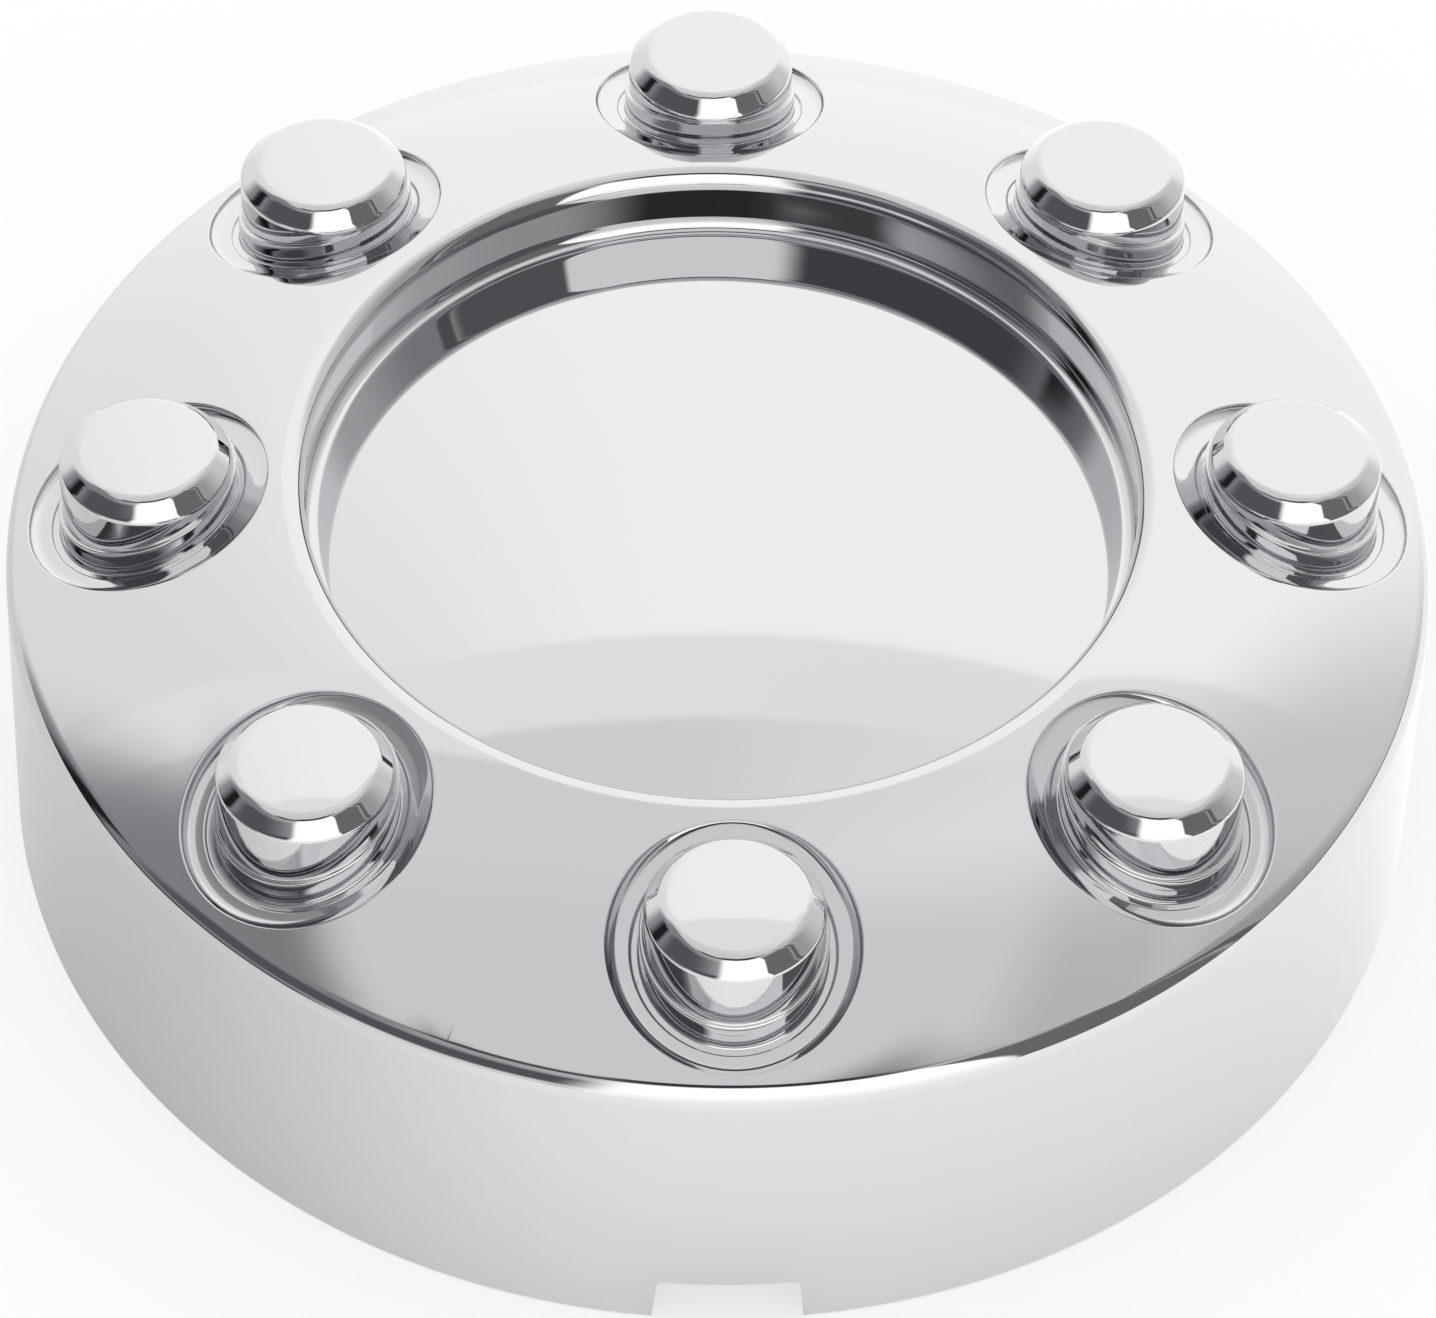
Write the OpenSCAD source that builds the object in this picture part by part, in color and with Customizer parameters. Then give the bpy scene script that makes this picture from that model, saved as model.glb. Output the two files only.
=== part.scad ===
// Chrome-plated wheel center cap with a ring of lug covers, moulded in one piece.
// Z = 0 is the plane of the rim that seats on the wheel, and +Z points out of the wheel.
// One lug cover and the pry notch in the rim are in line, on the -Y side.

/* [Lug pattern] */
// Number of lug covers
lug_count = 8; // [4:1:10]
// Diameter of the circle through the lug centres
lug_circle_d = 200; // [185:1:225]

/* [Face] */
// Height of the face above the rim, at the lug circle
face_h = 70; // [60:0.5:85]
// Downward slope of the face at the lug circle, in degrees
face_slope = 18; // [14:0.5:20]
// Radius of the face's crown, in section
face_radius = 168; // [155:1:240]
// Wall of the moulding
wall = 2.8; // [2:0.1:3.2]

/* [Skirt] */
// Distance in plan from a lug pocket to the edge of the rim
rim_land = 5.5; // [4.5:0.1:12]
// Draft of the skirt, in degrees
skirt_draft = 1.3; // [0.5:0.1:2]
// Rounding of the shoulder between face and skirt
shoulder_round = 4.5; // [3:0.1:6]
// Rounding of the rim's outer corner
rim_round = 0.6; // [0.2:0.1:1.2]

/* [Dished centre] */
// Distance from a lug pocket to the dished centre
dish_land = 6.15; // [5:0.05:14]
// Rounding of the ridge around the dished centre
ridge_round = 3.3; // [2:0.1:4.5]
// Depth of the step, below the face's height at the lug circle
step_drop = 7; // [4:0.1:10]
// Width of the step
step_w = 2.95; // [2.8:0.05:6]
// Rounding of the step's inner edge
step_edge_round = 1.2; // [0.5:0.1:1.3]
// Fillet at the foot of the wall above the step
step_fillet = 1.5; // [0.5:0.1:1.5]
// Depth of the floor, below the step
floor_drop = 9.15; // [6:0.05:14]
// Fillet around the floor
floor_fillet = 1.5; // [0.5:0.1:4]

/* [Lug pockets] */
// How much steeper than the face the pocket's rings slope, in degrees
pocket_lean = 1.7; // [0:0.1:3]
// Width of the shelf inside the pocket's edge
shelf_w = 4; // [3:0.1:5]
// Depth of the shelf, below the face's height at the lug circle
shelf_depth = 2.6; // [2.5:0.1:4]
// Width of the groove between shelf and collar
groove_w = 1.4; // [0.8:0.1:2]
// Depth of the groove, below the shelf
groove_depth = 0.6; // [0.4:0.1:1.5]

/* [Lug covers] */
// Diameter of the socket that slips over a lug nut
socket_d = 25.7; // [22:0.1:27]
// Wall of the cover
cover_wall = 2.2; // [1.8:0.1:2.8]
// Height of the cover's flat top, above the face's height at the lug circle
cover_rise = 11.8; // [11:0.1:20]
// Width of the bevel around the flat top
bevel_w = 2.4; // [1.6:0.1:3.5]
// Height of the bevel around the flat top
bevel_h = 3.1; // [2:0.1:3.6]
// Rounding between bevel and flat top
top_round = 2; // [0.5:0.1:2.4]
// Rounding between bevel and side
side_round = 1.5; // [0.5:0.1:2]
// How far the collar stands out from the cover
collar_ledge = 0.65; // [0.4:0.05:1.2]
// Height of the collar, above the face's height at the lug circle
collar_rise = 2.1; // [1:0.1:2.4]

/* [Hidden side] */
// Depth of the sleeves, below the face's height at the lug circle
sleeve_depth = 24; // [20:0.5:32]
// Number of slots that let a sleeve spring over its nut
slot_count = 4; // [2:2:4]
// Width of a slot
slot_w = 3; // [2:0.1:4]
// Length of a slot
slot_h = 10; // [6:0.5:12]
// Thickness of the webs that steady the sleeves
web_t = 2; // [1.4:0.1:3]

/* [Pry notch] */
// Width of the notch at the rim
notch_w = 26; // [20:0.5:32]
// Width of the notch at its top
notch_top_w = 24.1; // [18:0.1:26]
// Height of the notch
notch_h = 9.9; // [6:0.1:16]
// Rounding of the notch's top corners
notch_round = 1.2; // [0.5:0.1:3]

/* [Hidden] */
$fn = 96;

// Radii around a lug, from the socket outwards
socket_r = socket_d / 2;
cover_r = socket_r + cover_wall;
collar_r = cover_r + collar_ledge;
groove_r = collar_r + groove_w;
pocket_r = groove_r + shelf_w;

// Radii around the cap's axis
lug_r = lug_circle_d / 2;
rim_r = lug_r + pocket_r + rim_land;
dish_r = lug_r - pocket_r - dish_land;
well_r = dish_r - step_w;

// A thicker ring of the wall below each pocket reaches the dished centre, and a cup laps into it
pan_r = lug_r - dish_r - wall * 3 / 4;
cup_lap = (pan_r - pocket_r) / 3;

// Heights
cover_z = face_h + cover_rise;
shelf_z = face_h - shelf_depth;
groove_z = shelf_z - groove_depth;
cup_z = groove_z - wall;
collar_z = face_h + collar_rise;
step_z = face_h - step_drop;
floor_z = step_z - floor_drop;
sleeve_z = face_h - sleeve_depth;
web_z = sleeve_z + slot_h;

// How far a cut or a bounding shape reaches past what it cuts, and a short overlap
reach = face_h;
past = 1;

// The face is an arc in the r-z plane that passes the lug circle at its height and slope
face_c = [lug_r - face_radius * sin(face_slope), face_h - face_radius * cos(face_slope)];

// Direction up the skirt, and the one that it faces
skirt_up = [-sin(skirt_draft), cos(skirt_draft)];
skirt_out = [cos(skirt_draft), sin(skirt_draft)];

// Radius of the skirt at a height, set in from its outer surface
function skirt_r(z, inset) = rim_r - z * tan(skirt_draft) - inset / cos(skirt_draft);

// The shoulder's rounding touches the skirt and the face's arc
shoulder_foot = [rim_r, 0] - shoulder_round * skirt_out - face_c;
shoulder_run = sqrt(pow(shoulder_foot * skirt_up, 2) - shoulder_foot * shoulder_foot
    + pow(face_radius - shoulder_round, 2)) - shoulder_foot * skirt_up;
shoulder_c = face_c + shoulder_foot + shoulder_run * skirt_up;

// The ridge's rounding touches the wall above the step and the face's arc
ridge_x = dish_r + ridge_round;
ridge_c = [ridge_x, face_c[1] + sqrt(pow(face_radius - ridge_round, 2) - pow(ridge_x - face_c[0], 2))];

function unit(v) = v / norm(v);

// Centre of a rounding of radius r in the corner p, between faces that look along a and b
function rounding_c(p, r, a, b) = p - r * (a + b) / (1 + a * b);

// What a rounding of radius r about c takes off a corner between faces that look along a and b
module off_corner(c, r, a, b) {
    if (r > 0) translate(c) difference() {
        polygon([[0, 0], 3 * r * a, 3 * r * (a + b), 3 * r * b]);
        circle(r = r);
    }
}

// What a fillet of radius r adds in the lower outer corner p of a hollow
module in_corner(p, r) {
    translate(p - [r, 0]) difference() {
        square(r);
        translate([0, r]) circle(r = r);
    }
}

// Half section of the dished centre's hollow, grown on all sides by inset
module dish_section(inset) {
    difference() {
        translate([0, step_z - inset]) square([dish_r + inset, reach]);
        in_corner([dish_r + inset, step_z - inset], step_fillet + inset);
    }
    difference() {
        translate([0, floor_z - inset]) square([well_r + inset, floor_drop + inset]);
        in_corner([well_r + inset, floor_z - inset], floor_fillet + inset);
    }
    off_corner([well_r + step_edge_round, step_z - step_edge_round], step_edge_round - inset, [-1, 0], [0, 1]);
}

// Half section of the cap as if it were solid, set in from its outer surfaces, down to foot
module cap_section(inset, foot) {
    top = face_h + reach;
    difference() {
        intersection() {
            polygon([[0, foot], [skirt_r(foot, inset), foot], [skirt_r(top, inset), top], [0, top]]);
            translate(face_c) circle(r = face_radius - inset);
        }
        off_corner(ridge_c, ridge_round - inset, [-1, 0], unit(ridge_c - face_c));
        dish_section(inset);
    }
}

// Children at each lug centre, with their +X away from the cap's axis
module at_lugs() {
    for (i = [0 : lug_count - 1]) rotate(i * 360 / lug_count - 90) translate([lug_r, 0, 0]) children();
}

// Space above a plane that is z high at the lug's axis and slopes with the pocket's rings
module above_ring(z) {
    translate([0, 0, z]) rotate([0, face_slope + pocket_lean, 0])
        translate([-reach, -reach, 0]) cube([2 * reach, 2 * reach, 2 * reach]);
}

// Round slab between two such planes
module ring_slab(r, low, high) {
    difference() {
        intersection() {
            cylinder(r = r, h = 2 * reach);
            above_ring(low);
        }
        above_ring(high);
    }
}

// Face, skirt and dished centre as one wall, with a round hole at each lug. Below the hole's edge
// the wall is thicker, and carries the pocket's cup.
module shell() {
    difference() {
        rotate_extrude() difference() {
            cap_section(0, 0);
            off_corner(shoulder_c, shoulder_round, unit(shoulder_c - face_c), skirt_out);
            off_corner([skirt_r(rim_round, rim_round), rim_round], rim_round, [0, -1], [1, 0]);
        }
        difference() {
            rotate_extrude() cap_section(wall, -past);
            at_lugs() intersection() {
                cylinder(r = pan_r, h = 2 * reach);
                above_ring(cup_z);
            }
        }
        at_lugs() cylinder(r = pocket_r, h = 2 * reach);
        pry_notch();
    }
}

// Bottom of a pocket, with a shelf and a groove that slope as the face does
module pocket_cup() {
    difference() {
        ring_slab(pocket_r + cup_lap, cup_z, shelf_z);
        ring_slab(groove_r, groove_z, shelf_z + past);
    }
}

// Radial web that ties a sleeve to the dished centre and the skirt, inside their walls
module web() {
    x1 = dish_r + wall / 2 - lug_r;
    x2 = skirt_r(web_z, wall / 2) - lug_r;
    difference() {
        translate([x1, -web_t / 2, web_z]) cube([x2 - x1, web_t, reach]);
        above_ring(cup_z + wall / 2);
    }
}

// Sleeve around a lug nut, which stands up out of the pocket as a collar with a sloping top
module sleeve() {
    difference() {
        translate([0, 0, sleeve_z]) cylinder(r = collar_r, h = reach);
        above_ring(collar_z);
    }
}

// Half section of a cover's domed top, set in from its outer surfaces
module cover_section() {
    bevel_out = unit([bevel_h, bevel_w]);
    flat_edge = [cover_r - bevel_w, cover_z];
    side_edge = [cover_r, cover_z - bevel_h];
    difference() {
        polygon([[0, groove_z], [cover_r, groove_z], side_edge, flat_edge, [0, cover_z]]);
        off_corner(rounding_c(flat_edge, top_round, [0, 1], bevel_out), top_round, bevel_out, [0, 1]);
        off_corner(rounding_c(side_edge, side_round, bevel_out, [1, 0]), side_round, [1, 0], bevel_out);
    }
}

// Half section of a socket, with its bevelled top inside the cover's
module socket_section() {
    top = cover_z - cover_wall;
    polygon([
        [0, sleeve_z - past], [socket_r, sleeve_z - past], [socket_r, top - bevel_h],
        [socket_r - bevel_w, top], [0, top]
    ]);
}

// Slots in the lower end of each sleeve, between the webs
module sleeve_slots() {
    for (i = [0 : slot_count / 2 - 1])
        rotate(i * 360 / slot_count + 45) translate([-collar_r - past, -slot_w / 2, sleeve_z - past])
            cube([2 * (collar_r + past), slot_w, slot_h + past]);
}

// Trapezoid notch in the rim, cut through the skirt, with its top corners in short flats
module pry_notch() {
    lean = (notch_w - notch_top_w) / 2;
    foot = notch_w / 2 + past * lean / notch_h;
    top = notch_top_w / 2;
    translate([0, 2 * wall - rim_r, 0]) rotate([90, 0, 0]) linear_extrude(3 * wall) difference() {
        polygon([[-foot, -past], [foot, -past], [top, notch_h], [-top, notch_h]]);
        for (side_out = [unit([notch_h, lean]), unit([-notch_h, lean])]) {
            corner = [sign(side_out[0]) * top, notch_h];
            off_corner(rounding_c(corner, notch_round, side_out, [0, 1]), notch_round, side_out, [0, 1], $fn = 12);
        }
    }
}

module center_cap() {
    color([0.86, 0.87, 0.88]) difference() {
        union() {
            shell();
            at_lugs() {
                pocket_cup();
                web();
                sleeve();
                rotate_extrude() cover_section();
            }
        }
        at_lugs() {
            rotate_extrude() socket_section();
            sleeve_slots();
        }
    }
}

center_cap();
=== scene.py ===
"""Looks of a chrome-plated wheel center cap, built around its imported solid."""

from collections import namedtuple
import math

import bmesh
import bpy
import numpy as np
from bpy.props import FloatProperty, FloatVectorProperty, IntProperty, PointerProperty, StringProperty
from mathutils import Matrix, Vector


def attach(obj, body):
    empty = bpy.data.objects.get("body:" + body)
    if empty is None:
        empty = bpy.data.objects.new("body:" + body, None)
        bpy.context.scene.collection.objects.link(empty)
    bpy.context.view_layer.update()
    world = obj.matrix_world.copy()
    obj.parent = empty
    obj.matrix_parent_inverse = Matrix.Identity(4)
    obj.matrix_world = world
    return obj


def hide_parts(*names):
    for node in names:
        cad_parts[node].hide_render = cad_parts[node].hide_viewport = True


bl_info = {
    "name": "Wheel Center Cap",
    "version": (1, 0, 0),
    "blender": (4, 5, 0),
    "location": "View3D > Sidebar > Center Cap",
    "description": "Builds a chrome-plated wheel center cap and its studio stage",
    "category": "Add Mesh",
}

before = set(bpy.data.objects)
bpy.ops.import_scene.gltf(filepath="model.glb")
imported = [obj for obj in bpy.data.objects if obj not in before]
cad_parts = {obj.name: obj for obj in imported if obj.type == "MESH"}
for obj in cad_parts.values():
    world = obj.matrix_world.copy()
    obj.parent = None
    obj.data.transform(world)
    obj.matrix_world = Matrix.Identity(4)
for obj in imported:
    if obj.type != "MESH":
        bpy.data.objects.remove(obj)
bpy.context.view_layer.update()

MM = 0.001
CAP_NODE = "center_cap"
CAP_BODY = "root"
# Points closer than this are one point
MERGE_DISTANCE = 2e-6
# Faces that meet at more than this angle keep a sharp edge between them
SHARP_ANGLE = math.radians(32)

# Width of the reference view, in pixels
IMAGE_W = 1436


def length(name, description, millimetres, **options):
    """A size of the cap, kept in metres."""
    return FloatProperty(
        name=name, description=description, default=millimetres * MM,
        unit="LENGTH", precision=5, **options,
    )


def angle(name, description, degrees):
    """An angle, kept in radians."""
    return FloatProperty(
        name=name, description=description, default=math.radians(degrees), unit="ROTATION")


class CenterCapSizes(bpy.types.PropertyGroup):
    """Sizes of the cap's outer side.

    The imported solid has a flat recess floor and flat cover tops, and lacks the smallest roundings.
    """

    lug_count: IntProperty(name="Lugs", description="Number of lug covers", default=8, min=4)
    lug_circle_d: length("Lug circle", "Diameter of the circle through the lug centres", 200)
    face_h: length("Face height", "Height of the face at the lug circle", 70)
    face_slope: angle("Face slope", "Slope of the face at the lug circle", 18)
    face_radius: length("Face crown", "Radius of the face in section", 168)
    rim_r: length("Rim radius", "Outer radius of the skirt at the rim", 126.6)
    skirt_draft: angle("Skirt draft", "Draft of the skirt", 1.3)
    shoulder_round: length("Shoulder rounding", "Rounding between face and skirt", 4.5)
    rim_round: length("Rim rounding", "Rounding of the rim's outer corner", 0.6)
    dish_r: length("Recess radius", "Radius of the recess's wall", 72.75)
    ridge_round: length("Ridge rounding", "Rounding of the ridge around the recess", 3.3)
    floor_z: length("Floor height", "Height of the middle of the recess floor above the rim", 70.9)
    floor_radius: length("Floor crown", "Radius of the crowned recess floor in section", 332)
    floor_fillet: length("Floor fillet", "Fillet around the floor", 2.0)
    ring_slope: angle("Ring slope", "Slope of the pocket's shelf, groove and collar", 19.7)
    pocket_r: length("Pocket radius", "Radius of the pocket's edge", 21.1)
    pocket_edge_round: length("Pocket edge rounding", "Reach of the rounding past the pocket's edge", 0.5)
    shelf_outer_r: length("Shelf radius", "Radius at which the pocket's wall runs into the shelf", 18.8)
    groove_r: length("Groove radius", "Outer radius of the groove", 17.1)
    groove_round: length("Groove rounding", "Roundings on both edges of the groove's step", 0.3)
    shelf_z: length("Shelf height", "Height of the shelf's plane at the lug's axis", 67.4)
    groove_z: length("Groove height", "Height of the groove's plane at the lug's axis", 66.8)
    collar_r: length("Collar radius", "Outer radius of the collar", 15.7)
    collar_z: length("Collar height", "Height of the collar's plane at the lug's axis", 72.1)
    collar_round: length("Collar rounding", "Rounding of the collar's edge", 0.25)
    cover_r: length("Cover radius", "Outer radius of a lug cover", 15.05)
    cover_z: length("Cover height", "Height of the highest point of a cover's top", 81.8)
    cover_lean: angle("Cover lean", "Outward lean of a cover's top", 2.5)
    cover_crown: length("Cover crown", "Radius of a cover's crowned top", 148)
    bevel_w: length("Bevel width", "Width of the bevel around a cover's top", 3.0)
    bevel_h: length("Bevel height", "Height of the bevel around a cover's top", 3.4)
    top_round: length("Top rounding", "Rounding between bevel and top", 2.6)
    side_round: length("Side rounding", "Rounding between bevel and side", 2.2)
    notch_w: length("Notch width", "Width of the pry notch at the rim", 26)
    notch_top_w: length("Notch top width", "Width of the pry notch at its top", 24.1)
    notch_h: length("Notch height", "Height of the pry notch", 9.9)
    notch_round: length("Notch rounding", "Rounding of the notch's top corners", 1.2)


class CenterCapFinish(bpy.types.PropertyGroup):
    """Finish of the plating."""

    chrome_colour: StringProperty(
        name="Chrome colour", description="Colour of the plated metal, as sRGB hex",
        default="#c4c5c7")
    roughness: FloatProperty(
        name="Roughness", description="Roughness of the buffed plating", default=0.03, min=0, max=1)
    ripple: length("Ripple", "Distance between the soft ripples that moulding leaves in the plating", 14)
    ripple_h: FloatProperty(
        name="Ripple height", description="Height of those ripples",
        default=2e-6, precision=7, unit="LENGTH")


class CenterCapStage(bpy.types.PropertyGroup):
    """Camera, floor and studio."""

    eye: FloatVectorProperty(
        name="Camera place", description="Place of the camera", size=3, subtype="XYZ", unit="LENGTH",
        default=(-0.033795, -0.72973, 0.85968))
    heading: angle("Heading", "Direction of view, clockwise from +Y", 2.687)
    pitch: angle("Pitch", "Angle of view below the horizon", 48.78)
    roll: angle("Roll", "Roll of the camera", 1.99)
    focal_px: FloatProperty(
        name="Focal length", description="Focal length in pixels of the reference view", default=6151.6)
    floor_colour: StringProperty(
        name="Floor colour", description="Colour of the floor, as sRGB hex", default="#ffffff")
    floor_glow: FloatProperty(
        name="Floor glow", description="Share of the floor's white that no shadow dims",
        default=0.7, min=0, max=1)
    # The two colours in which the plating shows the floor: painted shade, dim on the cap's left and lit
    # elsewhere
    floor_lit: StringProperty(
        name="Lit floor", description="Colour in which the plating shows the floor, as sRGB hex",
        default="#e8e8e9")
    floor_dim: StringProperty(
        name="Dim floor", description="The same on the cap's left, as sRGB hex", default="#c6c5c7")
    wall_colour: StringProperty(
        name="Wall colour", description="Colour in which the plating shows the walls, as sRGB hex",
        default="#ececed")


def linear(hex_colour):
    """An sRGB hex colour as linear RGBA."""
    parts = [int(hex_colour[i:i + 2], 16) / 255 for i in (1, 3, 5)]
    return [c / 12.92 if c <= 0.04045 else ((c + 0.055) / 1.055) ** 2.4 for c in parts] + [1.0]


def add_node(tree, kind, settings=None, inputs=None):
    """Adds a node with its settings, and sets its inputs or links them, to a node by its first output."""
    made = tree.nodes.new(kind)
    for key, value in (settings or {}).items():
        setattr(made, key, value)
    for key, value in (inputs or {}).items():
        if isinstance(value, bpy.types.Node):
            value = value.outputs[0]
        if isinstance(value, bpy.types.NodeSocket):
            tree.links.new(value, made.inputs[key])
        else:
            made.inputs[key].default_value = value
    return made


# Steps around one lug's share of the shoulder and of the ridge, and along each side between the two
OUTER_STEPS = 40
INNER_STEPS = 28
SIDE_STEPS = 14
FLOOR_RINGS = 26
# Steps around the roundings, in section
SHOULDER_STEPS = 14
RIDGE_STEPS = 14
FILLET_STEPS = 10
POCKET_EDGE_STEPS = 5
POCKET_WALL_STEPS = 8
SMALL_STEPS = 3
BEVEL_FOOT_STEPS = 6
BEVEL_TOP_STEPS = 8
RIM_STEPS = 5
# Where the rings of the face lie between a pocket's edge and the edge of its sector
FACE_RINGS = (1, 0.99, 0.955, 0.87, 0.76, 0.64, 0.52, 0.40, 0.29, 0.19, 0.11, 0.05, 0.012)
# Where the rings of a cover's side lie between its collar and its bevel
COVER_SIDE_RINGS = (0.2, 0.6)
# Where the rings of a cover's top lie between its middle and its rounding
COVER_TOP_RINGS = (0.96, 0.85, 0.7, 0.55, 0.4, 0.25, 0.1)
# Distance from a rounding to the ring of points that keeps the surface beside it straight
WALL_HOLD = 0.25 * MM
SHELF_HOLD = 0.2 * MM
GROOVE_HOLD = 0.1 * MM
COLLAR_HOLD = 0.5 * MM
# Columns of the skirt from the notch's middle to its side, and to where they are evenly spaced again
NOTCH_COLUMNS = 5
BLEND_COLUMNS = 10
# Height above the notch over which the skirt's columns bend towards its sides
NOTCH_BLEND = 6 * MM
# Rows of the skirt: even ones down to that height, then heights above the notch, angles around its
# corner in degrees, and heights above the rim
UPPER_ROWS = 6
ABOVE_NOTCH = (3 * MM, 1 * MM)
CORNER_ANGLES = (90, 68, 45, 22, 7)
ABOVE_RIM = (6 * MM, 3 * MM, 1.2 * MM)


def unit(v):
    """A vector's direction, as a vector of length one."""
    return np.asarray(v, float) / np.linalg.norm(v)


def heading_of(v):
    """Angle of a vector in the plane of a section."""
    return math.atan2(v[1], v[0])


def arc(centre, radius, start, end, steps):
    """Points along an arc, both ends included."""
    turn = np.linspace(start, end, steps + 1)
    return np.stack([centre[0] + radius * np.cos(turn), centre[1] + radius * np.sin(turn)], axis=1)


class Face:
    """The crowned face, an arc in section, with the roundings that end it on both sides."""

    def __init__(self, s):
        self.radius = s.face_radius
        self.lug_r = s.lug_circle_d / 2
        self.centre = np.array([
            self.lug_r - self.radius * math.sin(s.face_slope),
            s.face_h - self.radius * math.cos(s.face_slope),
        ])
        skirt_out = np.array([math.cos(s.skirt_draft), math.sin(s.skirt_draft)])
        skirt_up = np.array([-math.sin(s.skirt_draft), math.cos(s.skirt_draft)])
        foot = np.array([s.rim_r, 0]) - s.shoulder_round * skirt_out - self.centre
        along = foot @ skirt_up
        run = math.sqrt(along ** 2 - foot @ foot + (self.radius - s.shoulder_round) ** 2) - along
        self.shoulder = self.centre + foot + run * skirt_up
        ridge_x = s.dish_r + s.ridge_round
        rise = math.sqrt((self.radius - s.ridge_round) ** 2 - (ridge_x - self.centre[0]) ** 2)
        self.ridge = np.array([ridge_x, self.centre[1] + rise])
        self.outer_end = self.centre + self.radius * unit(self.shoulder - self.centre)
        self.inner_end = self.centre + self.radius * unit(self.ridge - self.centre)

    def height(self, r):
        """Height of the face at a distance from the cap's axis."""
        return self.centre[1] + np.sqrt(self.radius ** 2 - (r - self.centre[0]) ** 2)


class Mesh:
    """Grids of points gathered into one mesh."""

    def __init__(self):
        self.points = []
        self.faces = []
        self.count = 0

    def add(self, points):
        """Adds points and returns the number of the first."""
        points = np.asarray(points, float).reshape(-1, 3)
        first = self.count
        self.points.append(points)
        self.count += len(points)
        return first

    def grid(self, rows, closed=False):
        """Quads between rows of points.

        Faces look up where the rows run outwards and the columns anticlockwise.
        """
        rows = np.asarray(rows, float)
        n_rows, n_cols = rows.shape[:2]
        first = self.add(rows)
        wrap = n_cols if closed else n_cols - 1
        for i in range(n_rows - 1):
            for j in range(wrap):
                k = (j + 1) % n_cols
                a, b = first + i * n_cols, first + (i + 1) * n_cols
                self.faces.append((a + j, b + j, b + k, a + k))
        return first

    def fan(self, centre, ring_start, count, closed=False):
        """Triangles from a point to a row of points that runs anticlockwise."""
        middle = self.add([centre])
        for j in range(count if closed else count - 1):
            self.faces.append((middle, ring_start + j, ring_start + (j + 1) % count))

    def build(self, name):
        """A Blender mesh of all that was added."""
        made = bpy.data.meshes.new(name)
        made.from_pydata(np.concatenate(self.points).tolist(), [], self.faces)
        made.update()
        return made


def outer_profile(s, face):
    """Section of the shoulder and the upper skirt, from the face outwards."""
    start = heading_of(face.shoulder - face.centre)
    return arc(face.shoulder, s.shoulder_round, start, s.skirt_draft, SHOULDER_STEPS)


def recess_profile(s, face):
    """Section of the recess, from its axis over the crowned floor and up the wall to the face."""
    crown = np.array([0, s.floor_z - s.floor_radius])
    fillet_r = s.dish_r - s.floor_fillet
    rise = math.sqrt((s.floor_radius + s.floor_fillet) ** 2 - fillet_r ** 2)
    fillet = np.array([fillet_r, crown[1] + rise])
    foot = heading_of(crown - fillet)
    spread = math.asin(fillet_r / (s.floor_radius + s.floor_fillet))
    floor_start = math.pi / 2 - spread / FLOOR_RINGS
    floor = arc(crown, s.floor_radius, floor_start, math.pi / 2 - spread, FLOOR_RINGS - 1)
    parts = [
        floor[:-1],
        arc(fillet, s.floor_fillet, foot, 0, FILLET_STEPS),
        [[s.dish_r, fillet[1] + WALL_HOLD], [s.dish_r, face.ridge[1] - WALL_HOLD]],
        arc(face.ridge, s.ridge_round, math.pi, heading_of(face.ridge - face.centre), RIDGE_STEPS),
    ]
    return np.concatenate([np.asarray(p, float) for p in parts])


def rounding_centre(corner, radius, a, b):
    """Centre of a rounding in a corner between faces that look along a and b."""
    a, b = np.asarray(a, float), np.asarray(b, float)
    return np.asarray(corner, float) - radius * (a + b) / (1 + a @ b)


def pocket_section(s):
    """Section of a pocket and its collar, from the pocket's edge inwards.

    Each point is (distance from the lug's axis, kind, value). A wall point's value is its share of the
    way from the shelf up to the face, a ring point's is its height above the shelf's plane, and a
    collar point's its height above the collar's plane.
    """
    quarter = math.pi / 2
    # Share of the wall's height that the rounding of the pocket's edge takes up
    edge_share = 0.22
    # Fillet between the collar and the cover
    foot_round = 0.2 * MM
    small_turn = np.linspace(0, quarter, SMALL_STEPS + 1)
    points = []
    for t in np.linspace(0, quarter, POCKET_EDGE_STEPS + 1):
        r = s.pocket_r + s.pocket_edge_round * (1 - math.sin(t))
        points.append((r, "wall", 1 - edge_share * (1 - math.cos(t))))
    run = s.pocket_r - s.shelf_outer_r
    for t in np.linspace(0, quarter, POCKET_WALL_STEPS + 1)[1:]:
        points.append((s.shelf_outer_r + run * math.cos(t), "wall", (1 - edge_share) * (1 - math.sin(t))))
    drop = s.groove_z - s.shelf_z
    g = s.groove_round
    points.append((s.groove_r + g + SHELF_HOLD, "ring", 0.0))
    for t in small_turn:
        points.append((s.groove_r + g * (1 - math.sin(t)), "ring", -g * (1 - math.cos(t))))
    for t in small_turn[1:]:
        points.append((s.groove_r - g * (1 - math.cos(t)), "ring", drop + g * (1 - math.sin(t))))
    points.append((s.collar_r + g + GROOVE_HOLD, "ring", drop))
    for t in small_turn:
        points.append((s.collar_r + g * (1 - math.sin(t)), "ring", drop + g * (1 - math.cos(t))))
    c = s.collar_round
    points.append((s.collar_r, "collar", -c - COLLAR_HOLD))
    for t in small_turn:
        points.append((s.collar_r - c * (1 - math.cos(t)), "collar", -c * (1 - math.sin(t))))
    for t in small_turn:
        r = s.cover_r + foot_round * (1 - math.sin(t))
        points.append((r, "collar", foot_round * (1 - math.cos(t))))
    return points


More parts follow.
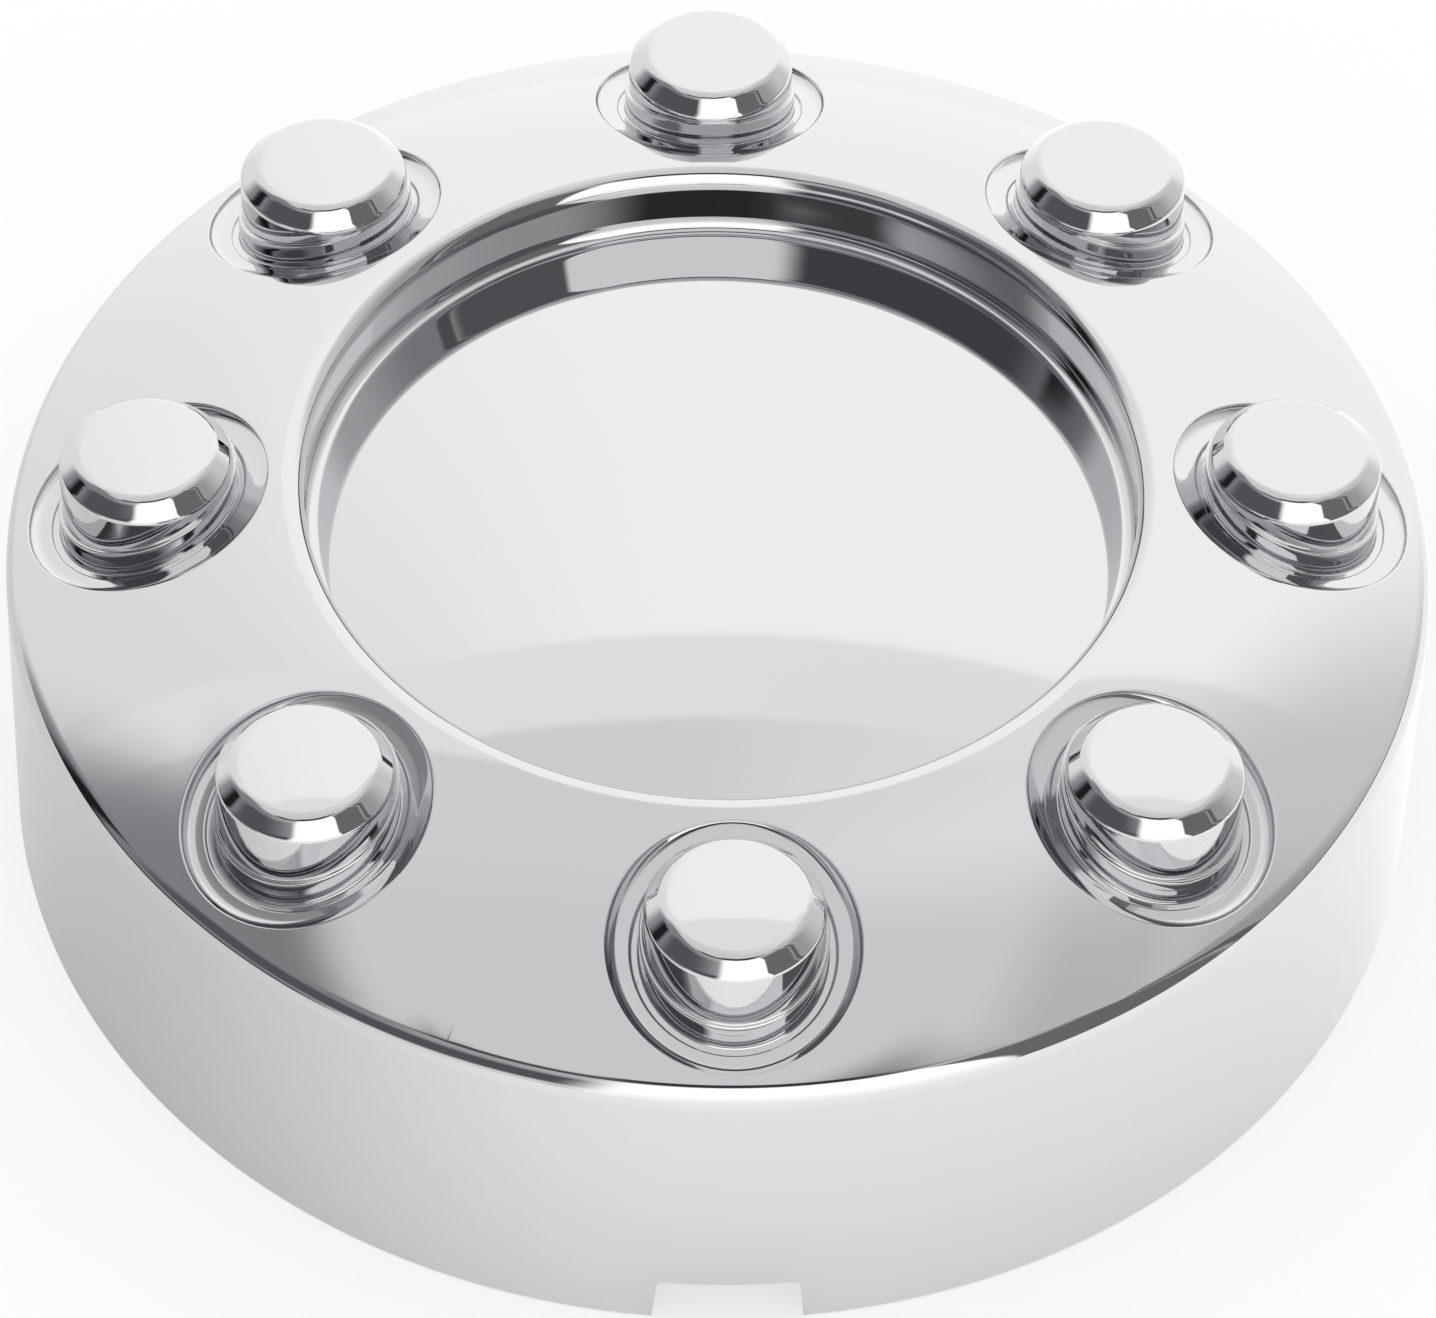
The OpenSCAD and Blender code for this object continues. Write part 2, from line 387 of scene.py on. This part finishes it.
def cover_profile(s):
    """Section of a cover above its collar, from its side up to the top, before the top is crowned."""
    bevel_out = unit([s.bevel_h, s.bevel_w])
    side_edge = np.array([s.cover_r, s.cover_z - s.bevel_h])
    top_edge = np.array([s.cover_r - s.bevel_w, s.cover_z])
    side_c = rounding_centre(side_edge, s.side_round, [1, 0], bevel_out)
    top_c = rounding_centre(top_edge, s.top_round, bevel_out, [0, 1])
    slant = heading_of(bevel_out)
    return np.concatenate([
        arc(side_c, s.side_round, 0, slant, BEVEL_FOOT_STEPS),
        arc(top_c, s.top_round, slant, math.pi / 2, BEVEL_TOP_STEPS),
        [[share * top_c[0], s.cover_z] for share in COVER_TOP_RINGS],
    ])


def revolve(profile, azimuths):
    """Points of a section at each azimuth around the cap's axis."""
    r, z = np.asarray(profile).T
    return np.stack([
        r[:, None] * np.cos(azimuths), r[:, None] * np.sin(azimuths),
        np.broadcast_to(z[:, None], (len(z), len(azimuths))),
    ], axis=2)


def sector_mesh(s):
    """One lug's share of the outer side, with its lug on +X: face, pocket, cover, shoulder and recess."""
    face = Face(s)
    half = math.pi / s.lug_count
    out_az = np.linspace(-half, half, OUTER_STEPS + 1)
    in_az = np.linspace(half, -half, INNER_STEPS + 1)
    side_r = np.linspace(face.outer_end[0], face.inner_end[0], SIDE_STEPS + 1)[1:-1]
    rim = [(face.outer_end[0], a) for a in out_az]
    rim += [(r, half) for r in side_r]
    rim += [(face.inner_end[0], a) for a in in_az]
    rim += [(r, -half) for r in side_r[::-1]]
    rim = np.array([[r * math.cos(a), r * math.sin(a)] for r, a in rim])
    offset = rim - [face.lug_r, 0]
    reach = np.linalg.norm(offset, axis=1)
    ray = offset / reach[:, None]
    tilt = math.tan(s.ring_slope)

    def face_z(rho):
        x, y = face.lug_r + rho * ray[:, 0], rho * ray[:, 1]
        return face.height(np.hypot(x, y))

    def ring(rho, z):
        x, y = face.lug_r + rho * ray[:, 0], rho * ray[:, 1]
        return np.stack([x, y, np.broadcast_to(z, reach.shape)], axis=1)

    rows = []
    edge = s.pocket_r + s.pocket_edge_round
    for share in FACE_RINGS:
        rho = edge + share * (reach - edge)
        rows.append(ring(rho, face_z(rho)))
    for rho, kind, value in pocket_section(s):
        fall = tilt * rho * ray[:, 0]
        if kind == "wall":
            shelf = s.shelf_z - fall
            z = shelf + value * (face_z(rho) - shelf)
        elif kind == "ring":
            z = s.shelf_z - fall + value
        else:
            z = s.collar_z - fall + value
        rows.append(ring(rho, z))
    cover = cover_profile(s)
    side_top = cover[0][1]
    foot = rows[-1][:, 2]
    for share in COVER_SIDE_RINGS:
        rows.append(ring(s.cover_r, foot + share * (side_top - foot)))
    # The crowned top leans about its highest point, and its lean and crown fade out down the bevel
    lean = math.tan(s.cover_lean)
    sink = s.cover_crown * lean ** 2 / 2
    for r, z in cover:
        crowned = (z - side_top) / (s.cover_z - side_top)
        drop = sink + lean * r * ray[:, 0] + r ** 2 / (2 * s.cover_crown)
        rows.append(ring(r, z - crowned * drop))
    rows = np.array(rows)[::-1]
    made = Mesh()
    first = made.grid(rows, closed=True)
    made.fan([face.lug_r, 0, s.cover_z - sink], first, rows.shape[1], closed=True)

    made.grid(revolve(outer_profile(s, face), out_az))
    recess = recess_profile(s, face)
    first = made.grid(revolve(recess, in_az[::-1]))
    made.fan([0, 0, s.floor_z], first, INNER_STEPS + 1)
    return made.build("lug_sector")


def socket_id(tree, name):
    """Identifier of a named input of a node tree."""
    items = tree.interface.items_tree
    return next(i.identifier for i in items if i.item_type == "SOCKET" and i.name == name)


def ring_tree():
    """Geometry nodes that repeat a sector around the cap's axis and weld the copies."""
    tree = bpy.data.node_groups.new("lug_ring", "GeometryNodeTree")
    for name, kind in (("Geometry", "Geometry"), ("Lugs", "Int"), ("First lug", "Float"),
                       ("Weld distance", "Float"), ("Plating", "Material")):
        tree.interface.new_socket(name, in_out="INPUT", socket_type="NodeSocket" + kind)
    tree.interface.new_socket("Geometry", in_out="OUTPUT", socket_type="NodeSocketGeometry")
    given = add_node(tree, "NodeGroupInput").outputs
    places = add_node(tree, "GeometryNodeMeshLine", {"mode": "OFFSET"},
                      {"Count": given["Lugs"], "Offset": (0, 0, 0)})
    index = add_node(tree, "GeometryNodeInputIndex")
    step = add_node(tree, "ShaderNodeMath", {"operation": "DIVIDE"}, {0: 2 * math.pi, 1: given["Lugs"]})
    turn = add_node(tree, "ShaderNodeMath", {"operation": "MULTIPLY_ADD"},
                    {0: index, 1: step, 2: given["First lug"]})
    spin = add_node(tree, "ShaderNodeCombineXYZ", inputs={"Z": turn})
    copies = add_node(tree, "GeometryNodeInstanceOnPoints", inputs={
        "Points": places, "Instance": given["Geometry"], "Rotation": spin})
    real = add_node(tree, "GeometryNodeRealizeInstances", inputs={"Geometry": copies})
    weld = add_node(tree, "GeometryNodeMergeByDistance", inputs={
        "Geometry": real, "Distance": given["Weld distance"]})
    plated = add_node(tree, "GeometryNodeSetMaterial", inputs={
        "Geometry": weld, "Material": given["Plating"]})
    add_node(tree, "NodeGroupOutput", inputs={"Geometry": plated})
    return tree


def repeated(mesh, s, plating):
    """The sector repeated around the axis, as one plain mesh."""
    holder = bpy.data.objects.new("lug_sector", mesh)
    bpy.context.scene.collection.objects.link(holder)
    modifier = holder.modifiers.new("lug_ring", "NODES")
    tree = ring_tree()
    modifier.node_group = tree
    modifier[socket_id(tree, "Lugs")] = s.lug_count
    modifier[socket_id(tree, "First lug")] = -math.pi / 2
    modifier[socket_id(tree, "Weld distance")] = MERGE_DISTANCE
    modifier[socket_id(tree, "Plating")] = plating
    view = bpy.context.evaluated_depsgraph_get()
    made = bpy.data.meshes.new_from_object(holder.evaluated_get(view))
    holder.modifiers.remove(modifier)
    bpy.data.objects.remove(holder)
    return made


def notch_half_width(s, z):
    """Half the notch's width at a height, with its rounded top corner."""
    lean = (s.notch_w - s.notch_top_w) / 2
    side = unit([s.notch_h, lean])
    centre = rounding_centre([s.notch_top_w / 2, s.notch_h], s.notch_round, side, [0, 1])
    if z <= centre[1] + s.notch_round * side[1]:
        return s.notch_w / 2 - lean * z / s.notch_h
    return centre[0] + math.sqrt(max(0.0, s.notch_round ** 2 - (z - centre[1]) ** 2))


def skirt_rows(s, face):
    """Rows of points of the outer skirt, from the shoulder down, and the row at the notch's top."""
    columns = OUTER_STEPS * s.lug_count
    middle = OUTER_STEPS // 2
    step = 2 * math.pi / columns
    top = face.shoulder[1] + s.shoulder_round * math.sin(s.skirt_draft)
    corner = s.notch_h - s.notch_round
    above = list(np.linspace(top, s.notch_h + NOTCH_BLEND, UPPER_ROWS))
    above += [s.notch_h + rise for rise in ABOVE_NOTCH]
    beside = [corner + s.notch_round * math.sin(t) for t in np.radians(CORNER_ANGLES)]
    heights = above + beside + list(ABOVE_RIM)
    section = [(s.rim_r - z * math.tan(s.skirt_draft), z) for z in heights]
    slant = s.rim_r - s.rim_round * math.tan(s.skirt_draft) - s.rim_round / math.cos(s.skirt_draft)
    foot = arc([slant, s.rim_round], s.rim_round, s.skirt_draft, -math.pi / 2, RIM_STEPS)
    section += [tuple(p) for p in foot]
    rows = []
    for r, z in section:
        half = notch_half_width(s, min(z, s.notch_h))
        pull = min(1.0, max(0.0, 1 - (z - s.notch_h) / NOTCH_BLEND))
        edge = math.asin(half / r)
        row = []
        for j in range(columns):
            m = (j - middle + columns // 2) % columns - columns // 2
            plain = m * step
            if abs(m) <= NOTCH_COLUMNS:
                bent = math.copysign(math.asin(half * abs(m) / NOTCH_COLUMNS / r), m)
            elif abs(m) < BLEND_COLUMNS:
                share = (BLEND_COLUMNS - abs(m)) / (BLEND_COLUMNS - NOTCH_COLUMNS)
                bent = plain + math.copysign(share * (edge - NOTCH_COLUMNS * step), m)
            else:
                bent = plain
            a = plain + pull * (bent - plain) - math.pi / 2
            row.append((r * math.cos(a), r * math.sin(a), z))
        rows.append(row)
    return np.array(rows), len(above)


def skirt_mesh(s):
    """The outer skirt with its notch, and the loop of points along its lower edge."""
    face = Face(s)
    rows, top_row = skirt_rows(s, face)
    n_rows, n_cols = rows.shape[:2]
    middle = OUTER_STEPS // 2
    low, high = middle - NOTCH_COLUMNS, middle + NOTCH_COLUMNS
    made = Mesh()
    made.add(rows)
    for i in range(n_rows - 1):
        for j in range(n_cols):
            if i >= top_row and low <= j < high:
                continue
            k = (j + 1) % n_cols
            a, b = i * n_cols, (i + 1) * n_cols
            made.faces.append((a + j, b + j, b + k, a + k))
    last = n_rows - 1
    loop = [rows[last][j % n_cols] for j in range(high, low + n_cols + 1)]
    loop += [rows[i][low] for i in range(last - 1, top_row, -1)]
    loop += [rows[top_row][j] for j in range(low, high + 1)]
    loop += [rows[i][high] for i in range(top_row + 1, last)]
    return made.build("skirt"), np.array(loop)


def hidden_side(s):
    """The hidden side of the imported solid, welded, and the loop of points around its lower edge."""
    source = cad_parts[CAP_NODE].data
    bm = bmesh.new()
    bm.from_mesh(source)
    bmesh.ops.remove_doubles(bm, verts=bm.verts, dist=MERGE_DISTANCE)
    # Heights below this are on the rim's flat, and what lies further forward than the front and within
    # the margin of the notch may be one of its sides or its top
    flat = 0.01 * MM
    margin = 0.5 * MM
    front = -0.9 * s.rim_r
    # The skirt's faces look inwards or outwards, and the faces of the notch's sides and top don't
    most_outward = 0.6

    def on_edge(f):
        if all(v.co.z < flat for v in f.verts):
            return True
        c = f.calc_center_median()
        near = abs(c.x) < s.notch_w / 2 + margin and c.z < s.notch_h + margin and c.y < front
        outward = Vector((c.x, c.y, 0)).normalized()
        return near and abs(f.normal @ outward) < most_outward

    edge_faces = {f for f in bm.faces if on_edge(f)}
    top = max(bm.verts, key=lambda v: v.co.z)
    queue = list(top.link_faces)
    outer = set(queue)
    while queue:
        f = queue.pop()
        for e in f.edges:
            for g in e.link_faces:
                if g not in outer and g not in edge_faces:
                    outer.add(g)
                    queue.append(g)
    bmesh.ops.delete(bm, geom=list(outer | edge_faces), context="FACES")
    loose = [v for v in bm.verts if not v.link_faces]
    bmesh.ops.delete(bm, geom=loose, context="VERTS")
    border = [e for e in bm.edges if len(e.link_faces) == 1]
    chain = [border[0].verts[0], border[0].verts[1]]
    left = set(border[1:])
    while True:
        step = next((e for e in chain[-1].link_edges if e in left), None)
        if step is None:
            break
        left.discard(step)
        chain.append(step.other_vert(chain[-1]))
    if left or chain[0] is not chain[-1]:
        raise RuntimeError(f"the hidden side's edge isn't one loop: {len(left)} edges left over")
    loop = np.array([list(v.co) for v in chain[:-1]])
    made = bpy.data.meshes.new("hidden_side")
    bm.to_mesh(made)
    bm.free()
    return made, loop


def stitch(outer, inner):
    """Triangles between two closed loops of points that run beside each other, facing outwards."""
    def turned(loop):
        area = sum(a[0] * b[1] - a[1] * b[0] for a, b in zip(loop, np.roll(loop, -1, axis=0)))
        return loop if area > 0 else loop[::-1]

    outer, inner = turned(outer), turned(inner)
    start = int(np.argmax(outer[:, 1]))
    outer = np.roll(outer, -start, axis=0)
    inner = np.roll(inner, -int(np.argmin(np.linalg.norm(inner - outer[0], axis=1))), axis=0)
    n, m = len(outer), len(inner)
    made = Mesh()
    made.add(outer)
    made.add(inner)
    i = j = 0
    while i < n or j < m:
        a, b = outer[i % n], inner[j % m]
        next_a, next_b = outer[(i + 1) % n], inner[(j + 1) % m]
        step_outer = j >= m or (i < n and np.linalg.norm(next_a - b) <= np.linalg.norm(next_b - a))
        if step_outer:
            made.faces.append((i % n, n + j % m, (i + 1) % n))
            i += 1
        else:
            made.faces.append((i % n, n + j % m, n + (j + 1) % m))
            j += 1
    return made.build("rim_edge")


def join_meshes(meshes, name):
    """Several meshes welded into one, and the number of its edges that don't have two faces."""
    bm = bmesh.new()
    for mesh in meshes:
        bm.from_mesh(mesh)
    bmesh.ops.remove_doubles(bm, verts=bm.verts, dist=MERGE_DISTANCE)
    open_edges = sum(1 for e in bm.edges if len(e.link_faces) != 2)
    made = bpy.data.meshes.new(name)
    bm.to_mesh(made)
    bm.free()
    for mesh in meshes:
        bpy.data.meshes.remove(mesh)
    return made, open_edges


def chrome(finish):
    """Bright chrome plating on moulded ABS: a clear mirror, with a faint ripple from the moulding below.

    Its colour is chromium's own, so what is mirrored twice, as in the pockets, looks darker.
    """
    made = bpy.data.materials.new("chrome_plated_abs")
    made.use_nodes = True
    tree = made.node_tree
    shader = tree.nodes["Principled BSDF"]
    shader.inputs["Base Color"].default_value = linear(finish.chrome_colour)
    shader.inputs["Metallic"].default_value = 1.0
    shader.inputs["Roughness"].default_value = finish.roughness
    place = add_node(tree, "ShaderNodeTexCoord").outputs["Object"]
    ripple = add_node(tree, "ShaderNodeTexNoise", inputs={
        "Vector": place, "Scale": 1 / finish.ripple, "Detail": 1.0})
    bump = add_node(tree, "ShaderNodeBump", inputs={
        "Height": ripple.outputs["Fac"], "Distance": finish.ripple_h, "Strength": 1.0})
    tree.links.new(bump.outputs["Normal"], shader.inputs["Normal"])
    return made


class CENTERCAP_OT_build(bpy.types.Operator):
    """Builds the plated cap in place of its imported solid"""

    bl_idname = "centercap.build"
    bl_label = "Build Cap"

    def execute(self, context):
        s = context.scene.center_cap_sizes
        plating = chrome(context.scene.center_cap_finish)
        ring = repeated(sector_mesh(s), s, plating)
        skirt, lower_edge = skirt_mesh(s)
        hidden, hidden_edge = hidden_side(s)
        edge = stitch(lower_edge, hidden_edge)
        mesh, open_edges = join_meshes([ring, skirt, hidden, edge], "plated_cap")
        if open_edges:
            self.report({"WARNING"}, f"The cap isn't closed: {open_edges} edges don't have two faces")
        mesh.materials.clear()
        mesh.materials.append(plating)
        mesh.polygons.foreach_set("use_smooth", [True] * len(mesh.polygons))
        mesh.set_sharp_from_angle(angle=SHARP_ANGLE)
        cap = bpy.data.objects.new("plated_cap", mesh)
        context.scene.collection.objects.link(cap)
        weighted = cap.modifiers.new("even_normals", "WEIGHTED_NORMAL")
        weighted.keep_sharp = True
        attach(cap, CAP_BODY)
        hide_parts(CAP_NODE)
        return {"FINISHED"}


class CENTERCAP_OT_stage(bpy.types.Operator):
    """Adds the camera, the floor and the studio around it"""

    bl_idname = "centercap.stage"
    bl_label = "Build Stage"

    def execute(self, context):
        stage = context.scene.center_cap_stage
        finish = context.scene.center_cap_finish
        add_camera(context.scene, stage)
        add_floor(context.scene, stage, finish)
        add_world(context.scene, stage, finish)
        context.scene.view_settings.view_transform = "Standard"
        return {"FINISHED"}


def add_camera(scene, stage):
    """Camera at the reference view."""
    heading, pitch, roll = stage.heading, stage.pitch, stage.roll
    right = Vector((math.cos(heading), -math.sin(heading), 0))
    ahead = Vector((
        math.sin(heading) * math.cos(pitch), math.cos(heading) * math.cos(pitch), -math.sin(pitch)))
    up = right.cross(ahead)
    turned_right = math.cos(roll) * right + math.sin(roll) * up
    turned_up = -math.sin(roll) * right + math.cos(roll) * up
    data = bpy.data.cameras.new("camera")
    data.sensor_width = 36
    data.lens = data.sensor_width * stage.focal_px / IMAGE_W
    data.clip_start = 0.05
    data.clip_end = 20
    camera = bpy.data.objects.new("camera", data)
    axes = Matrix((turned_right, turned_up, -ahead)).transposed()
    camera.matrix_world = Matrix.Translation(stage.eye) @ axes.to_4x4()
    scene.collection.objects.link(camera)
    scene.camera = camera


def seen(hex_colour, plating):
    """Brightness of a surface that the plating shows in this colour."""
    return [c / p for c, p in zip(linear(hex_colour)[:3], linear(plating)[:3])] + [1.0]


# Sockets of a Mix node that mixes colours, which come after those for numbers and vectors
MIX_FIRST = 6
MIX_SECOND = 7
MIX_RESULT = 2

# Half the floor's width, in metres
FLOOR_REACH = 6.0
# Room below the rim, so that the floor doesn't cut it
FLOOR_GAP = 0.2 * MM
# Angles from the cap's left over which the painted shade of the mirrored floor fades, until the floor is
# fully lit
DIM_END = math.radians(20)
LIT_START = math.radians(90)


def add_floor(scene, stage, finish):
    """Matt white floor below the rim. Its colour in reflections is painted shade: the plating shows it a
    little greyer on the cap's left.
    """
    mesh = bpy.data.meshes.new("floor")
    corners = [(x * FLOOR_REACH, y * FLOOR_REACH, 0) for x, y in ((-1, -1), (1, -1), (1, 1), (-1, 1))]
    mesh.from_pydata(corners, [], [(0, 1, 2, 3)])
    floor = bpy.data.objects.new("floor", mesh)
    floor.location.z = -FLOOR_GAP
    scene.collection.objects.link(floor)
    made = bpy.data.materials.new("matt_white_floor")
    made.use_nodes = True
    tree = made.node_tree
    shader = tree.nodes["Principled BSDF"]
    shader.inputs["Roughness"].default_value = 0.9
    shader.inputs["Specular IOR Level"].default_value = 0.0
    place = add_node(tree, "ShaderNodeTexCoord").outputs["Object"]
    axes = add_node(tree, "ShaderNodeSeparateXYZ", inputs={"Vector": place}).outputs
    azimuth = add_node(tree, "ShaderNodeMath", {"operation": "ARCTAN2"}, {0: axes["X"], 1: axes["Y"]})
    from_left = add_node(tree, "ShaderNodeMath", {"operation": "ADD"}, {0: azimuth, 1: math.pi / 2})
    aside = add_node(tree, "ShaderNodeMath", {"operation": "WRAP"},
                     {0: from_left, 1: math.pi, 2: -math.pi})
    off_left = add_node(tree, "ShaderNodeMath", {"operation": "ABSOLUTE"}, {0: aside})
    lit = add_node(tree, "ShaderNodeMapRange", {"interpolation_type": "SMOOTHSTEP"},
                   {"Value": off_left, "From Min": DIM_END, "From Max": LIT_START})
    # Painted shade: only glossy rays see the floor in these colours, darker on the cap's left
    mirrored = add_node(tree, "ShaderNodeMix", {"data_type": "RGBA"}, {
        0: lit, MIX_FIRST: seen(stage.floor_dim, finish.chrome_colour),
        MIX_SECOND: seen(stage.floor_lit, finish.chrome_colour)})
    plain = linear(stage.floor_colour)
    path = add_node(tree, "ShaderNodeLightPath").outputs
    colour = add_node(tree, "ShaderNodeMix", {"data_type": "RGBA"}, {
        0: path["Is Glossy Ray"], MIX_FIRST: plain, MIX_SECOND: mirrored.outputs[MIX_RESULT]})
    tree.links.new(colour.outputs[MIX_RESULT], shader.inputs["Base Color"])
    white = add_node(tree, "ShaderNodeEmission", inputs={"Color": plain, "Strength": 1.0})
    share = add_node(tree, "ShaderNodeMath", {"operation": "MULTIPLY"},
                     {0: path["Is Camera Ray"], 1: stage.floor_glow})
    mixed = add_node(tree, "ShaderNodeMixShader", inputs={0: share, 1: shader, 2: white})
    tree.links.new(mixed.outputs[0], tree.nodes["Material Output"].inputs["Surface"])
    mesh.materials.append(made)


# One surface of the studio. Its left and right edge are azimuths, with 0 along +Y and 90 along +X, and
# its low and high edge are elevations above the horizon. All edges, and how far they fade, are in degrees.
# A surface from -200 to 200 goes all the way round. The tone is the one that the plating shows.
StudioPanel = namedtuple(
    "StudioPanel", "name left right left_fade right_fade low high low_fade high_fade tone")

BACK_WALL = (
    StudioPanel("dim end of the back wall", -100, -25, 30, 50, -20, 110, 1, 1, "#d7d6d8"),
)
# The ceiling's edges are straight and run along X, so its elevations are those along +Y
CEILING = (
    StudioPanel("edge of the ceiling", -200, 200, 1, 1, 59.8, 200, 0.8, 1, "#dcdbdd"),
    StudioPanel("ceiling", -200, 200, 1, 1, 66.5, 200, 1, 1, "#cccbcd"),
    StudioPanel("lit part of the ceiling", 20, 125, 60, 20, 61, 200, 6, 1, "#d9d8da"),
    StudioPanel("ceiling above the camera", -200, 200, 1, 1, 82, 200, 16, 1, "#c6c5c8"),
)
SCREENS = (
    StudioPanel("right wall", 53, 125, 20, 4, -20, 60, 1, 8, "#c2c1c3"),
    StudioPanel("top of the right wall", 76, 132, 50, 24, 56, 67, 5, 7, "#b2b1b3"),
    StudioPanel("far end of the right wall", 82, 107, 30, 2, -20, 52, 1, 12, "#949396"),
    StudioPanel("left screen", -158, -62, 44, 16, -20, 60, 1, 8, "#949396"),
    StudioPanel("shaded half of the left screen", -122, -66, 20, 14, -20, 58, 1, 6, "#7d7b7f"),
    StudioPanel("dark middle of the left screen", -168, -92, 12, 14, 14, 46, 8, 12, "#504e52"),
    StudioPanel("light gap below the left screen", -158, -128, 6, 6, -20, 11, 1, 3, "#cccbcd"),
    StudioPanel("foot of the left screen", -124, -72, 6, 8, -20, 6, 1, 10, "#403e41"),
    StudioPanel("seam of the left screen", -85.5, -74, 5, 9, -20, 32, 1, 6, "#1c1b1d"),
    StudioPanel("foot of the right wall", 66, 112, 8, 4, -20, 2.5, 1, 3, "#484649"),
    StudioPanel("seam of the right wall", 103, 107.5, 1.5, 1.5, -20, 52, 1, 4, "#5f5d60"),
    StudioPanel("dark strip beside the softbox", 108, 144, 6, 3, -20, 58, 1, 8, "#656366"),
    StudioPanel("softbox", 141, 198, 2, 10, -20, 61, 1, 1.5, "#ffffff"),
    StudioPanel("foot of the softbox", 141, 196, 2, 10, -20, 14, 1, 5, "#f3f3f4"),
    StudioPanel("gap above the softbox", 132, 206, 40, 16, 62.5, 72, 1.5, 4, "#343235"),
    StudioPanel("gap above the left screen", -164, -114, 20, 16, 60.5, 68, 2.5, 3, "#4d4b4e"),
    StudioPanel("top of the left screen", -120, -56, 20, 20, 52, 62, 6, 8, "#7b797c"),
)


def paint(tree, ground, panel, azimuth, elevation, plating):
    """The studio's colour with one more surface in front of it."""
    middle, half = (panel.left + panel.right) / 2, (panel.right - panel.left) / 2
    away = add_node(tree, "ShaderNodeMath", {"operation": "SUBTRACT"},
                    {0: azimuth, 1: math.radians(middle)})
    aside = add_node(tree, "ShaderNodeMath", {"operation": "WRAP"}, {0: away, 1: math.pi, 2: -math.pi})
    edges = (
        (aside, -half, panel.left_fade, True), (aside, half, panel.right_fade, False),
        (elevation, panel.low, panel.low_fade, True), (elevation, panel.high, panel.high_fade, False),
    )
    cover = 1.0
    for value, edge, width, rising in edges:
        before, after = (0.0, 1.0) if rising else (1.0, 0.0)
        soft = add_node(tree, "ShaderNodeMapRange", {"interpolation_type": "SMOOTHSTEP"}, {
            "Value": value, "From Min": math.radians(edge - width / 2),
            "From Max": math.radians(edge + width / 2), "To Min": before, "To Max": after})
        cover = add_node(tree, "ShaderNodeMath", {"operation": "MULTIPLY"}, {0: cover, 1: soft})
    painted = add_node(tree, "ShaderNodeMix", {"data_type": "RGBA", "label": panel.name}, {
        0: cover, MIX_FIRST: ground, MIX_SECOND: seen(panel.tone, plating)})
    return painted.outputs[MIX_RESULT]


def add_world(scene, stage, finish):
    """Plain white light, in which the plating also shows the walls, screens and softbox of a studio."""
    world = bpy.data.worlds.new("studio")
    world.use_nodes = True
    tree = world.node_tree
    direction = add_node(tree, "ShaderNodeTexCoord").outputs["Generated"]
    axes = add_node(tree, "ShaderNodeSeparateXYZ", inputs={"Vector": direction}).outputs
    azimuth = add_node(tree, "ShaderNodeMath", {"operation": "ARCTAN2"}, {0: axes["X"], 1: axes["Y"]})
    elevation = add_node(tree, "ShaderNodeMath", {"operation": "ARCSINE"}, {0: axes["Z"]})
    over_back = add_node(tree, "ShaderNodeMath", {"operation": "ARCTAN2"}, {0: axes["Z"], 1: axes["Y"]})
    plating = finish.chrome_colour
    colour = seen(stage.wall_colour, plating)
    for panels, height in ((BACK_WALL, elevation), (CEILING, over_back), (SCREENS, elevation)):
        for panel in panels:
            colour = paint(tree, colour, panel, azimuth, height, plating)
    path = add_node(tree, "ShaderNodeLightPath").outputs
    mirrored = add_node(tree, "ShaderNodeMath", {"operation": "MAXIMUM"},
                        {0: path["Is Glossy Ray"], 1: path["Is Transmission Ray"]})
    light = tree.nodes["Background"]
    light.inputs["Color"].default_value = linear("#ffffff")
    studio = add_node(tree, "ShaderNodeBackground", inputs={"Color": colour})
    mixed = add_node(tree, "ShaderNodeMixShader", inputs={0: mirrored, 1: light, 2: studio})
    tree.links.new(mixed.outputs[0], tree.nodes["World Output"].inputs["Surface"])
    scene.world = world


class CENTERCAP_PT_panel(bpy.types.Panel):
    """Sidebar panel with the cap's sizes and operators"""

    bl_label = "Center Cap"
    bl_idname = "CENTERCAP_PT_panel"
    bl_space_type = "VIEW_3D"
    bl_region_type = "UI"
    bl_category = "Center Cap"

    def draw(self, context):
        layout = self.layout
        for operator in ("centercap.build", "centercap.stage"):
            layout.operator(operator)
        scene = context.scene
        for group in (scene.center_cap_sizes, scene.center_cap_finish, scene.center_cap_stage):
            box = layout.box()
            for name in group.__annotations__:
                box.prop(group, name)


CLASSES = (
    CenterCapSizes,
    CenterCapFinish,
    CenterCapStage,
    CENTERCAP_OT_build,
    CENTERCAP_OT_stage,
    CENTERCAP_PT_panel,
)


def register():
    for cls in CLASSES:
        bpy.utils.register_class(cls)
    bpy.types.Scene.center_cap_sizes = PointerProperty(type=CenterCapSizes)
    bpy.types.Scene.center_cap_finish = PointerProperty(type=CenterCapFinish)
    bpy.types.Scene.center_cap_stage = PointerProperty(type=CenterCapStage)


def unregister():
    del bpy.types.Scene.center_cap_stage
    del bpy.types.Scene.center_cap_finish
    del bpy.types.Scene.center_cap_sizes
    for cls in reversed(CLASSES):
        bpy.utils.unregister_class(cls)


def main():
    register()
    bpy.ops.centercap.build()
    bpy.ops.centercap.stage()


if __name__ == "__main__":
    main()
